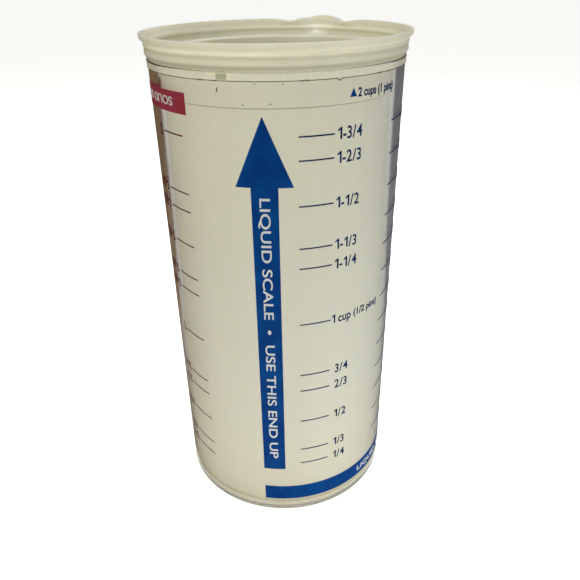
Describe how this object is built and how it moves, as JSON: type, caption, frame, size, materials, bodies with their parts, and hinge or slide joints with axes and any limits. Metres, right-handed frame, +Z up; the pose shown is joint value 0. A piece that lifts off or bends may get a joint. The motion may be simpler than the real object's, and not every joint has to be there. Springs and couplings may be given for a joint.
{
  "type": "adjustable measuring cup",
  "caption": "Clear graduated sleeve, open at both ends, around a sliding inner cup with a stepped rim, pouring spout and wiper end; liquid and solid scales.",
  "frame": {"origin": "centre of the sleeve's lower edge, in the plane that it stands on", "axes": "+Z up along the sleeve's axis towards the cup's rim; the blue arrow faces -Y and the pouring spout points towards +Y, turned towards +X"},
  "size_m": [0.0766, 0.0783, 0.1528],
  "materials": {
    "clear_plastic": "clear glossy styrene, slightly yellowed at the moulded edges",
    "cream_plastic": "translucent cream moulded polypropylene, satin",
    "blue_ink": "deep blue screen print",
    "red_ink": "dark red screen print"
  },
  "bodies": {
    "sleeve": {"outer_sleeve": "clear_plastic", "liquid_scale": "blue_ink", "solid_scale": "red_ink"},
    "cup": {"inner_cup": "cream_plastic"}
  },
  "joints": [
    {"name": "cup_slide", "type": "slide", "parent": "sleeve", "child": "cup", "axis": [0, 0, 1], "range_m": [0, 0.14]}
  ]
}
